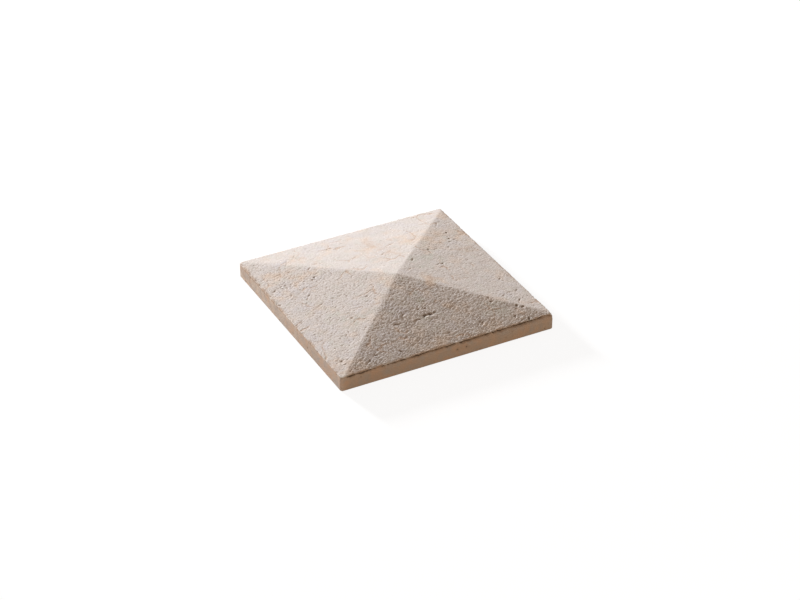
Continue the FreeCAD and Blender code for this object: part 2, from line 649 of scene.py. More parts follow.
@dataclass(frozen=True)
class RaggedLip:
    """The broken edge in which the rough relief ends, all round the cap.

    It sags as one wave says, and the groove under it stands open as another does.
    """

    # The fourth number is painted light on the sides below: paler, with a greyer dusty tint, above zero,
    # and painted shade below zero.
    points: tuple[EdgePoint, ...] = (
        EdgePoint(0.00, 0.5 * MM, 0.8 * MM, 0.7),
        EdgePoint(0.04, 0.8 * MM, 1.7 * MM, 0.0),
        EdgePoint(0.50, 3.2 * MM, 1.9 * MM, 0.0),
        EdgePoint(0.96, 6.2 * MM, 1.9 * MM, 0.1),
        EdgePoint(1.00, 3.2 * MM, 1.0 * MM, 0.1),
        EdgePoint(1.06, 2.0 * MM, 0.5 * MM, 0.0),
        EdgePoint(1.99, 1.2 * MM, 0.4 * MM, 0.0),
        # Painted shade: the back side, which the key shines on straight, is made darker.
        EdgePoint(2.03, 1.2 * MM, 0.4 * MM, -2.0),
        EdgePoint(2.96, 1.2 * MM, 0.4 * MM, -2.0),
        # Painted light: the left side's back end is paler.
        EdgePoint(2.99, 0.4 * MM, 0.4 * MM, 0.9, 3.5 * MM),
        EdgePoint(3.02, 0.3 * MM, 0.4 * MM, 1.0, 4.5 * MM),
        EdgePoint(3.25, 0.3 * MM, 0.4 * MM, 0.9, 3.5 * MM),
        EdgePoint(3.45, 0.7 * MM, 0.4 * MM, 0.75, 2.2 * MM),
        EdgePoint(3.75, 0.9 * MM, 0.4 * MM, 0.1),
        EdgePoint(3.95, 0.7 * MM, 0.4 * MM, 0.1),
    )
    ragged: Wave = Wave(9.0 * MM, 51, 2, mean=0.5 * MM, swing=1.0 * MM, least=0.0)
    notch_points: Scatter = Scatter(24.0 * MM, 53)
    notch_radius: float = 3.84 * MM
    notch_share: float = 0.45
    notch_depth: float = 2.4 * MM
    sag: Wave = Wave(7.5 * MM, 81, 3, mean=0.3, swing=0.9, least=0.0, most=1.2)
    gape: Wave = Wave(13.0 * MM, 91, 3, mean=0.65, least=0.2, most=1.25)
    stains: Blotches = Blotches(24.0 * MM, 95, 3, -0.25, 0.35)
    back_stain: float = 0.25
    left_break: float = 0.35

    def _along(self, place: Array, values: list[float]) -> Array:
        """Straight blend of one of the points' values round the cap."""
        return np.interp(place, [p.place for p in self.points], values, period=len(Side))

    def inset(self, place: Array) -> Array:
        """How far the lip stands back from the face, apart from its ragged break."""
        return self._along(place, [p.inset for p in self.points])

    def groove(self, place: Array) -> Array:
        """Depth of the groove under the lip."""
        return self._along(place, [p.groove for p in self.points])

    def hang(self, place: Array) -> Array:
        """Thickness of the lip."""
        return self._along(place, [p.hang for p in self.points])

    def tone(self, place: Array) -> Array:
        """Painted light or shade of the side below the lip: paler above zero, darker below."""
        return self._along(place, [p.tone for p in self.points])

    def stained(self, at: Spots) -> Array:
        """How stained the lip is, in patches, from 0 to 1, and only faintly along the back."""
        faint = np.where(at.y > np.abs(at.x), self.back_stain, 1.0)
        return faint * self.stains.over(at)

    def breaks(self, at: Spots) -> Array:
        """Ragged break of the lip: a quick wave, and a round notch here and there.

        Args:
            at: Points of the outline.

        Returns:
            How much further back the lip stands.
        """
        first, _, own = self.notch_points.over(at)
        bite = np.clip(1.0 - (first / self.notch_radius) ** 2, 0.0, 1.0)
        notches = self.notch_depth * np.where(own < self.notch_share, bite, 0.0)
        broken = self.ragged.over(at) + notches
        return np.where(-at.x > np.abs(at.y), self.left_break, 1.0) * broken


FRONT_SIDE_PITS = (
    Patch(18.8, 18.5, 3.0), Patch(40.8, 19.1, 3.0),
)


class Tint(Enum):
    """Tints that lie in patches on the slopes, each by the name of its attribute."""

    WARM = "warm_stain"
    COOL = "cool_stain"
    MOSSY = "mossy_stain"
    TANNED = "tanned_stain"


STAINS = {
    Tint.WARM: (
        Patch(-221, 171, 24), Patch(-205, 143, 28), Patch(-165, 118, 30), Patch(-138, 104, 24),
        Patch(-240, 62, 21), Patch(-236, -207, 29), Patch(-228, -226, 40), Patch(-29, 0, 31),
        Patch(25, 182, 31), Patch(20, 150, 29), Patch(107, 143, 36), Patch(130, 164, 23),
        Patch(-135, 188, 26), Patch(-85, 178, 21), Patch(150, 114, 29), Patch(195, 126, 31),
        Patch(232, 125, 36), Patch(136, 79, 18), Patch(240, 200, 23), Patch(64, -43, 21),
        Patch(86, -58, 18), Patch(-43, -216, 29), Patch(-12, -236, 23), Patch(45, -226, 10),
        Patch(71, -150, 21), Patch(110, -232, 21), Patch(193, -222, 11), Patch(-150, -30, 23),
    ),
    Tint.COOL: (
        Patch(-221, -64, 36), Patch(-200, 0, 31), Patch(-186, 36, 26), Patch(-171, 70, 30),
        Patch(-228, 74, 24), Patch(-192, 180, 22), Patch(-95, -48, 24), Patch(-214, -122, 41),
        Patch(-190, -165, 36), Patch(-168, 192, 17), Patch(-105, 190, 19), Patch(-70, 222, 36),
        Patch(86, 214, 29), Patch(136, 214, 19), Patch(-110, -222, 24), Patch(14, -88, 26),
        Patch(-45, -105, 26), Patch(-107, -172, 26), Patch(-157, -208, 31), Patch(-74, -182, 19),
        Patch(36, -186, 22), Patch(205, -150, 26), Patch(0, -65, 18), Patch(66, -208, 16),
    ),
    Tint.MOSSY: (
        Patch(-139, 203, 14), Patch(-158, 150, 17), Patch(-150, -100, 31), Patch(-165, -60, 24),
        Patch(93, 43, 29), Patch(130, 58, 17), Patch(7, -94, 14), Patch(-5, -160, 17),
        Patch(150, -190, 22),
    ),
    Tint.TANNED: (
        Patch(-12, -238, 20), Patch(14, -230, 15), Patch(-42, -222, 13), Patch(-232, -208, 22),
        Patch(-228, -226, 36), Patch(212, 54, 24), Patch(70, -38, 18), Patch(-178, 150, 12),
        Patch(45, 106, 36), Patch(22, 160, 36), Patch(-135, 190, 22),
    ),
}


@dataclass(frozen=True)
class PierCap:
    """The whole casting: rough slopes, smooth sides and an underside with a drip groove."""

    shape: CapShape
    relief: Relief
    lip: RaggedLip
    cells_across: int = 274
    fine_cells: int = 8
    fine_step: float = 1.1 * MM
    lip_sag: float = 0.9
    lip_jut: float = 0.3 * MM
    lip_face: float = 0.6
    slot_rows: int = 3
    lip_rows: int = 6
    lip_reach: float = 40.0 * MM
    break_reach: float = 6.0 * MM
    corner_back: float = 0.75
    groove_gape: float = 4.2 * MM
    gaping_cut: float = 1.5 * MM
    least_gape: float = 0.2
    cut_share: float = 0.5
    cut_gain: float = 0.6
    cut_most: float = 1.2
    # Painted shade in the groove under the lip, by row, full where the groove is cut this deep:
    dark_cut: float = 1.3 * MM
    slot_shade: tuple[float, ...] = (0.3, 1.0, 1.0, 0.55)
    shoulder_cut: float = 0.8
    shoulder_least: float = 0.5 * MM
    shoulder_bend: float = 0.35
    shoulder_drop: float = 0.8 * MM
    least_radius: float = 0.2 * MM
    side_start: float = 12.5 * MM
    side_rows: int = 9
    side_waves: Wave = Wave(40.0 * MM, 61, 2, mean=0.2 * MM, swing=0.2 * MM)
    side_shifts: tuple[float, float] = (3.0, 7.0)
    hole_points: Scatter = Scatter(19.0 * MM, 68)
    hole_radius: float = 2.4 * MM
    hole_share: float = 0.14
    hole_depth: float = 1.0 * MM
    # Painted shade in the blowholes, by their depth:
    hole_shade: float = 1.5
    hole_most: float = 0.96
    arris_rows: int = 2
    groove_rows: int = 5
    # Painted shade in the slopes' low spots and clefts, and as a shadow on each cleft's back wall:
    hollow_reach: int = 3
    hollow_start: float = 0.3
    hollow_most: float = 0.8
    hollow_depth: float = 0.55 * MM
    deep_hollow: float = 1.05 * MM
    deep_most: float = 0.95
    shade_shift: float = 1.8 * MM
    stain_reach: float = 7.0 * MM
    stain_shares: tuple[float, ...] = (1.0, 0.75, 0.6, 0.52)
    stain_warp: Warp = Warp(24.0 * MM, 111, 12.0 * MM)

    def grid_lines(self) -> Array:
        """Places of the grid's lines across the top: close together along the edges.

        Returns:
            Coordinates from one face to the other.
        """
        inner = self.shape.half - self.fine_cells * self.fine_step
        coarse = np.linspace(-inner, inner, self.cells_across - 2 * self.fine_cells + 1)
        fine = inner + self.fine_step * np.arange(1, self.fine_cells + 1)
        return np.concatenate([-fine[::-1], coarse, fine])

    def outward(self, place: Array) -> tuple[Spots, Spots]:
        """Straight run and outward direction of each column of the skin.

        Args:
            place: Place of each column round the cap, counted in sides.

        Returns:
            The column's point on a straight run of half-length 1, and its outward direction, which
            turns in the corners.
        """
        run, angle = self.shape.corner_turn(2.0 * (place % 1.0) - 1.0)
        sides = np.array([side.value for side in Side], dtype=float)
        ox, oy = np.moveaxis(sides[np.floor(place).astype(int) % len(Side)], -1, 0)
        c, s = np.cos(angle), np.sin(angle)
        return Spots(ox - oy * run, oy + ox * run), Spots(ox * c - oy * s, oy * c + ox * s)

    def drawn_in(self, at: Spots, place: Array, back: Array) -> Spots:
        """Points moved in from the faces, against the outward direction of their columns.

        Args:
            at: The points.
            place: Place of each point's column round the cap.
            back: How far each point is moved.

        Returns:
            The moved points.
        """
        _, out = self.outward(place)
        return Spots(at.x - back * out.x, at.y - back * out.y)

    def ring(self, place: Array, inset: Array, radius: Array) -> Spots:
        """Rounded square rings: the straight run's point, moved out by the ring's corner radius.

        Args:
            place: Place of each column round the cap.
            inset: Distance of each point from the faces, rings by columns.
            radius: Corner radius at each point, rings by columns.

        Returns:
            The rings' points.
        """
        straight, out = self.outward(place)
        run = self.shape.half - inset - radius
        return Spots(run * straight.x + radius * out.x, run * straight.y + radius * out.y)

    def outline(self, place: Array) -> Spots:
        """Point of each column on the plain outline, the ring without an inset."""
        return self.ring(place, np.zeros_like(place), np.full_like(place, self.shape.corner_radius))

    def rounded(self, grid: Spots) -> Spots:
        """A square grid with its corners drawn in to the cap's corner radius.

        In a corner square of the corner radius, a point's larger coordinate becomes its distance
        from the corner's centre, and the ratio of the two its angle.

        Args:
            grid: The grid's points.

        Returns:
            The moved points.
        """
        start = self.shape.half - self.shape.corner_radius
        u, v = (np.clip(np.abs(values) - start, 0.0, None) for values in (grid.x, grid.y))
        far, near = np.maximum(u, v), np.minimum(u, v)
        angle = math.pi / 4.0 * np.divide(near, far, out=np.zeros_like(far), where=far > 0.0)
        angle = np.where(u >= v, angle, math.pi / 2.0 - angle)
        inside = near > 0.0
        x = np.where(inside, np.sign(grid.x) * (start + far * np.cos(angle)), grid.x)
        y = np.where(inside, np.sign(grid.y) * (start + far * np.sin(angle)), grid.y)
        return Spots(x, y)

    def top(self) -> tuple[Spots, Array, Array, Array]:
        """The slopes on a square grid, whose corners are drawn in and whose edge follows the lip.

        Painted shade: a point is darkened where it lies below the mean round about or in a cleft,
        and most on the back wall of a cleft, where its shadow falls.

        Returns:
            The grid's points, first index along X, their heights, how much painted shade each gets and
            how stained by the lip it is.
        """
        lines = self.grid_lines()
        grid = Spots(*np.meshgrid(lines, lines, indexing="ij"))
        place = self.place_round(grid)
        depth = self.shape.half - np.maximum(np.abs(grid.x), np.abs(grid.y))
        at = self.drawn_in(self.rounded(grid), place, self.back(place, depth))
        rise = self.relief.height(at) - self.relief.carved(at)
        # Painted shade: darker where the relief lies below its local mean.
        below = (self.blurred(rise) - rise) / self.hollow_depth
        hollow_shade = np.clip(below - self.hollow_start, 0.0, self.hollow_most)
        # Painted shadow: the clefts' darkness moved back by shade_shift onto their back walls.
        shaded = self.relief.carved(Spots(at.x, at.y - self.shade_shift)) / self.deep_hollow
        hollow_shade = np.maximum(hollow_shade, np.clip(shaded, 0.0, self.deep_most))
        stain = 1.0 - smooth_step(depth, 0.0, self.stain_reach)
        stain *= self.lip.stained(self.outline(place))
        return at, self.shape.slope_height(at) + rise, hollow_shade, stain

    def back(self, place: Array, depth: Array | float) -> Array:
        """How far points stand back with the lip: fully at the edge, less and less further in.

        In a corner they stand back by less than the corner's radius.

        Args:
            place: Place of each point's column round the cap.
            depth: Distance of each point from the edge.

        Returns:
            Distance inwards from the point's plain place.
        """
        slow, quick = (1.0 - smooth_step(depth, 0.0, reach) for reach in (self.lip_reach, self.break_reach))
        back = self.lip.inset(place) * slow + self.lip.breaks(self.outline(place)) * quick
        _, out = self.outward(place)
        straight = np.maximum(np.abs(out.x), np.abs(out.y)) > 1.0 - TINY
        most = np.where(straight, self.shape.half, self.corner_back * self.shape.corner_radius)
        return np.minimum(back, most)

    def place_round(self, grid: Spots) -> Array:
        """Place round the cap, counted in sides, of the column that a top point lies on.

        The larger of |x| and |y| says which side, and the ratio of the two where along it.

        Args:
            grid: The grid's points.

        Returns:
            Numbers from 0, at the front's left end, to 4.
        """
        x, y = grid.x, grid.y
        reach = np.maximum(np.maximum(np.abs(x), np.abs(y)), TINY)
        front, back = -y >= np.abs(x), y >= np.abs(x)
        side = np.select([front, back, x > 0.0], [0.0, 2.0, 1.0], 3.0)
        along = np.select([front, back, x > 0.0], [x, -x, y], -y) / reach
        return side + np.clip((along + 1.0) / 2.0, 0.0, 1.0 - TINY)

    def blurred(self, field: Array) -> Array:
        """Mean of a field over a square window, by running sums along both directions.

        Args:
            field: Values on the grid.

        Returns:
            The local means.
        """
        width = 2 * self.hollow_reach + 1
        padded = np.pad(field, self.hollow_reach, mode="edge")
        for axis in (0, 1):
            sums = np.cumsum(np.insert(padded, 0, 0.0, axis=axis), axis=axis)
            upper = np.take(sums, np.arange(width, sums.shape[axis]), axis=axis)
            lower = np.take(sums, np.arange(sums.shape[axis] - width), axis=axis)
            padded = (upper - lower) / width
        return padded

    def on_side(self, at: Spots, z: Array) -> Spots:
        """Places on the sides for the noise: the way along a side, and the height.

        The way is shifted by a number of its own for each side, so that no two sides look alike.

        Args:
            at: Points of the sides.
            z: Z of each point.

        Returns:
            The places.
        """
        across, up = self.side_shifts
        along_y = np.abs(at.x) > np.abs(at.y)
        return Spots(np.where(along_y, at.y + across * np.sign(at.x), at.x + up * np.sign(at.y)), z)

    def side_holes(self, at: Spots, z: Array) -> Array:
        """Blowholes in the smooth sides, round bowls: some scattered, two placed on the front.

        Args:
            at: The points.
            z: Z of each point.

        Returns:
            Share of the full depth, from 0 to 1.
        """
        first, _, own = self.hole_points.over(self.on_side(at, z))
        hole = np.clip(1.0 - (first / self.hole_radius) ** 2, 0.0, 1.0) * (own < self.hole_share)
        placed = np.where(at.y < -np.abs(at.x), patches(Spots(at.x, z), FRONT_SIDE_PITS), 0.0)
        return np.maximum(hole, placed)

    def skirt_rows(self, place: Array, lip_z: Array, lip_back: Array,
                   cut: Array) -> tuple[Array, Array, Array]:
        """Profile below the lip at each column: groove, shoulder, side, base arris and drip groove.

        The groove's top lies under the lip, which hangs and sags, and its height follows its depth.
        The shoulder bends from the groove to the face, and both round parts are arcs.

        Args:
            place: Place of each column round the cap.
            lip_z: Height of the lip at each column.
            lip_back: Distance of the lip from the face at each column.
            cut: Depth of the groove at each column.

        Returns:
            Distance from the face, height and corner radius, rows by columns.
        """
        s = self.shape
        outline = self.outline(place)
        sag = self.lip_sag * self.lip.groove(place) * self.lip.sag.over(outline)
        hang = self.lip.hang(place)
        opening = np.clip(cut / self.gaping_cut, self.least_gape, 1.0) * self.groove_gape
        plain = s.slope_height(self.ring(place, lip_back, s.corner_radius - lip_back))
        slot_top = plain - hang - sag
        slot_floor = slot_top - opening * self.lip.gape.over(outline)
        side_top = plain - self.side_start
        shoulder = np.maximum(lip_back - self.shoulder_cut * cut, self.shoulder_least)
        zero = np.zeros_like(place)
        insets = [lip_back - self.lip_jut, lip_back + cut, lip_back + cut,
                  shoulder, self.shoulder_bend * shoulder, zero]
        heights = [lip_z - self.lip_face * hang - sag, slot_top, slot_floor,
                   slot_floor - self.shoulder_drop, slot_floor - 2.0 * self.shoulder_drop, side_top]
        for share in np.linspace(1.0, 0.0, self.side_rows + 1)[1:]:
            insets.append(zero)
            heights.append(s.base_arris + share * (side_top - s.base_arris))
        for bend in np.linspace(0.0, math.pi / 2.0, self.arris_rows + 1)[1:]:
            insets.append(zero + s.base_arris * (1.0 - math.cos(bend)))
            heights.append(zero + s.base_arris * (1.0 - math.sin(bend)))
        radii = [np.maximum(s.corner_radius - inset, self.least_radius) for inset in insets]
        for bend in np.linspace(0.0, math.pi, self.groove_rows):
            insets.append(zero + s.drip_inset - s.drip_radius * math.cos(bend))
            heights.append(zero + s.drip_radius * math.sin(bend))
            radii.append(zero + s.drip_bend + s.drip_radius * math.cos(bend))
        return np.array(insets), np.array(heights), np.array(radii)

    def skirt(self, place: Array, lip_z: Array, lip_back: Array) -> tuple[Spots, Array, Array]:
        """Everything below the lip, with the sides drawn in by a slow wave and by their blowholes.

        Args:
            place: Place of each column round the cap.
            lip_z: Height of the lip at each column.
            lip_back: Distance of the lip from the face at each column.

        Returns:
            The skirt's points, rows by columns, their heights and how much painted shade each gets, in
            the groove under the lip and in the blowholes.
        """
        gape = self.lip.gape.over(self.outline(place))
        cut = self.lip.groove(place) * np.minimum(self.cut_share + self.cut_gain * gape, self.cut_most)
        inset, z, radius = self.skirt_rows(place, lip_z, lip_back, cut)
        at = self.ring(place, inset, radius)
        rows = np.arange(len(inset))[:, None]
        smooth = (rows >= self.slot_rows) & (rows < self.lip_rows + self.side_rows)
        holes = np.where(smooth, self.side_holes(at, z), 0.0)
        uneven = np.where(smooth, self.side_waves.over(self.on_side(at, z)), 0.0)
        # Painted shade in the blowholes, and in the rows of the groove under the lip.
        hollow_shade = np.clip(self.hole_shade * holes, 0.0, self.hole_most)
        dark = np.array(self.slot_shade)[:, None]
        hollow_shade[:len(dark)] = dark * np.clip(cut / self.dark_cut, 0.0, 1.0)
        return self.drawn_in(at, place, uneven + self.hole_depth * holes), z, hollow_shade

    def faces(self, index: Array, border: Array, rows: int) -> tuple[Array, Array]:
        """Faces of the whole skin: the top grid, the skirt below it and a fan in the underside.

        Args:
            index: Point numbers of the top grid.
            border: Point numbers round the top grid's border.
            rows: Number of the skirt's rows.

        Returns:
            The quads, and the fan's triangles, which meet in the last point.
        """
        skirt_points = index.size + np.arange(rows * len(border)).reshape(rows, len(border))
        loops = np.vstack([border, skirt_points])
        upper, lower, inner = loops[:-1], loops[1:], loops[-1]
        top = np.stack([index[:-1, :-1], index[1:, :-1], index[1:, 1:], index[:-1, 1:]], -1)
        skirt = np.stack([upper, lower, np.roll(lower, -1, 1), np.roll(upper, -1, 1)], -1)
        fan = np.stack([inner, np.full_like(inner, inner[-1] + 1), np.roll(inner, -1)], -1)
        return np.vstack([top.reshape(-1, 4), skirt.reshape(-1, 4)]), fan

    def build(self) -> bpy.types.Object:
        """Join the top grid, the skirt and the flat of the underside into one closed mesh.

        Returns:
            The cap as an object at the origin.
        """
        n = self.cells_across
        at, top_z, top_hollow_shade, top_stain = self.top()
        index = np.arange((n + 1) ** 2).reshape(n + 1, n + 1)
        border = np.concatenate([index[:-1, 0], index[-1, :-1], index[:0:-1, -1], index[0, :0:-1]])
        lines = self.grid_lines()
        along = (1.0 + lines[:-1] / lines[-1]) / 2.0
        place = np.concatenate([along + side for side in range(len(Side))])
        lip_z = top_z.ravel()[border]
        side_at, side_z, side_hollow_shade = self.skirt(place, lip_z, self.back(place, 0.0))
        top_points = np.stack([at.x, at.y, top_z], -1).reshape(-1, 3)
        side_points = np.stack([side_at.x, side_at.y, side_z], -1).reshape(-1, 3)
        points = np.vstack([top_points, side_points, np.zeros((1, 3))])
        mesh = skin_mesh("pier_cap_skin", points, *self.faces(index, border, len(side_z)))
        none, rough, stained = np.zeros((3, *side_z.shape))
        rough[0] = 1.0
        stained[:len(self.slot_shade)] = self.lip.stained(self.outline(place))
        values = {
            "rough_share": (np.ones_like(top_z), rough),
            "grain_share": (self.relief.strength(at) / max(self.relief.strengths), none),
            "rough_slope_shade_share": (self.relief.rough_slope_shade(at), none),
            "vein_share": (-self.relief.cracks(at) / self.relief.crack_depth, none),
            "edge_stain": (top_stain, stained),
            "side_dust_and_painted_light": (np.zeros_like(top_z), np.tile(self.lip.tone(place), (len(side_z), 1))),
            "hollow_shade": (top_hollow_shade, side_hollow_shade),
        }
        moved = self.stain_warp.over(at)
        share = self.shape.blend(self.stain_shares, at)
        values |= {tint.value: (share * patches(moved, places), none) for tint, places in STAINS.items()}
        for name, (on_top, on_skirt) in values.items():
            put_values(mesh, name, np.concatenate([on_top.ravel(), on_skirt.ravel(), [0.0]]))
        cap = bpy.data.objects.new("cast_cap", mesh)
        bpy.context.scene.collection.objects.link(cap)
        return cap


def skin_mesh(name: str, points: Array, quads: Array, triangles: Array) -> bpy.types.Mesh:
    """Put arrays of points and faces into a new smooth mesh.

    Args:
        name: Name of the mesh.
        points: Points, three numbers each.
        quads: Faces of four point numbers, seen anticlockwise from outside.
        triangles: Faces of three point numbers.

    Returns:
        The mesh.
    """
    mesh = bpy.data.meshes.new(name)
    corners = np.concatenate([quads.ravel(), triangles.ravel()]).astype(np.int32)
    sizes = np.concatenate([np.full(len(quads), 4), np.full(len(triangles), 3)])
    starts = np.concatenate([[0], np.cumsum(sizes)[:-1]]).astype(np.int32)
    mesh.vertices.add(len(points))
    mesh.vertices.foreach_set("co", points.astype(np.float32).ravel())
    mesh.loops.add(len(corners))
    mesh.loops.foreach_set("vertex_index", corners)
    mesh.polygons.add(len(sizes))
    mesh.polygons.foreach_set("loop_start", starts)
    mesh.polygons.foreach_set("use_smooth", np.ones(len(sizes), dtype=bool))
    mesh.update(calc_edges=True)
    mesh.validate()
    return mesh


def put_values(mesh: bpy.types.Mesh, name: str, values: Array) -> None:
    """Keep one number for each point of a mesh under a name that materials can read."""
    attribute = mesh.attributes.new(name, "FLOAT", "POINT")
    attribute.data.foreach_set("value", values.astype(np.float32))


@dataclass(frozen=True)
class NodeSheet:
    """Short ways to put nodes into one material's or world's tree."""

    tree: bpy.types.NodeTree
    mix_colours: tuple[int, int] = (6, 7)
    mix_result: int = 2

    def add(self, kind: str, feeds: Feeds | None = None, **settings: object) -> bpy.types.Node:
        """Put in a node, with some of its sockets fed.

        Args:
            kind: Kind of the node.
            feeds: What goes into its sockets, by their names or numbers.
            settings: Settings of the node, by their names.

        Returns:
            The node.
        """
        node = self.tree.nodes.new(kind)
        for name, value in settings.items():
            setattr(node, name, value)
        for socket, value in (feeds or {}).items():
            self.feed(node.inputs[socket], value)
        return node

    def feed(self, socket: Socket, value: object) -> None:
        """Link an output to a socket, or set a number or a colour on it.

        Args:
            socket: The socket.
            value: An output, a number or a colour of three numbers.
        """
        if isinstance(value, Socket):
            self.tree.links.new(value, socket)
        elif isinstance(value, tuple):
            socket.default_value = (*value, 1.0)
        else:
            socket.default_value = value

    def read(self, name: str) -> Socket:
        """Numbers that the mesh keeps under a name."""
        return self.add("ShaderNodeAttribute", attribute_name=name).outputs["Fac"]

    def noise(self, place: Socket, pitch: float, detail: float) -> Socket:
        """Cloudy noise from 0 to 1, of about one pitch in metres and some finer layers."""
        feeds = {"Vector": place, "Scale": 1.0 / pitch, "Detail": detail}
        return self.add("ShaderNodeTexNoise", feeds).outputs["Fac"]

    def pebbles(self, place: Socket, pitch: float) -> Socket:
        """Distance to the nearest of scattered points, as a share of their pitch in metres."""
        feeds = {"Vector": place, "Scale": 1.0 / pitch}
        return self.add("ShaderNodeTexVoronoi", feeds, feature="F1").outputs["Distance"]

    def span(self, value: object, low: float, high: float, to_low: float = 0.0,
             to_high: float = 1.0) -> Socket:
        """Stretch a value from one range, low to high, to another, held at its ends."""
        feeds = {"Value": value, "From Min": low, "From Max": high, "To Min": to_low, "To Max": to_high}
        return self.add("ShaderNodeMapRange", feeds).outputs["Result"]

    def maths(self, operation: str, a: object, b: object) -> Socket:
        """Combine two numbers by an operation."""
        return self.add("ShaderNodeMath", {0: a, 1: b}, operation=operation).outputs[0]

    def mix(self, factor: object, a: object, b: object) -> Socket:
        """Blend colour a into colour b, whose share is the factor."""
        feeds = {0: factor, **dict(zip(self.mix_colours, (a, b)))}
        return self.add("ShaderNodeMix", feeds, data_type="RGBA").outputs[self.mix_result]

    def shade(self, factor: object, a: bpy.types.Node, b: bpy.types.Node) -> Socket:
        """Blend two shaders, where the factor is the second one's share."""
        return self.add("ShaderNodeMixShader", {0: factor, 1: a.outputs[0], 2: b.outputs[0]}).outputs[0]

    def shown(self) -> Socket:
        """1 for a ray that shows the background: from the camera, a gloss or a clear body.

        Returns:
            The output with 1 or 0.
        """
        path = self.add("ShaderNodeLightPath")
        most = path.outputs["Is Camera Ray"]
        for name in ("Is Glossy Ray", "Is Transmission Ray"):
            most = self.maths("MAXIMUM", most, path.outputs[name])
        return most


@dataclass(frozen=True)
class Mottle:
    """Cloudy blotches of a colour: their pitch, the noise at their start and where full, their most."""

    colour: Colour
    pitch: float
    start: float
    full: float
    most: float
    detail: float = 4.0


@dataclass(frozen=True)
class Stain:
    """A tint of the slopes: its colour, its clouds' pitch, their strength by themselves, its most."""

    colour: Colour
    pitch: float
    alone: float = 0.45
    most: float = 1.0


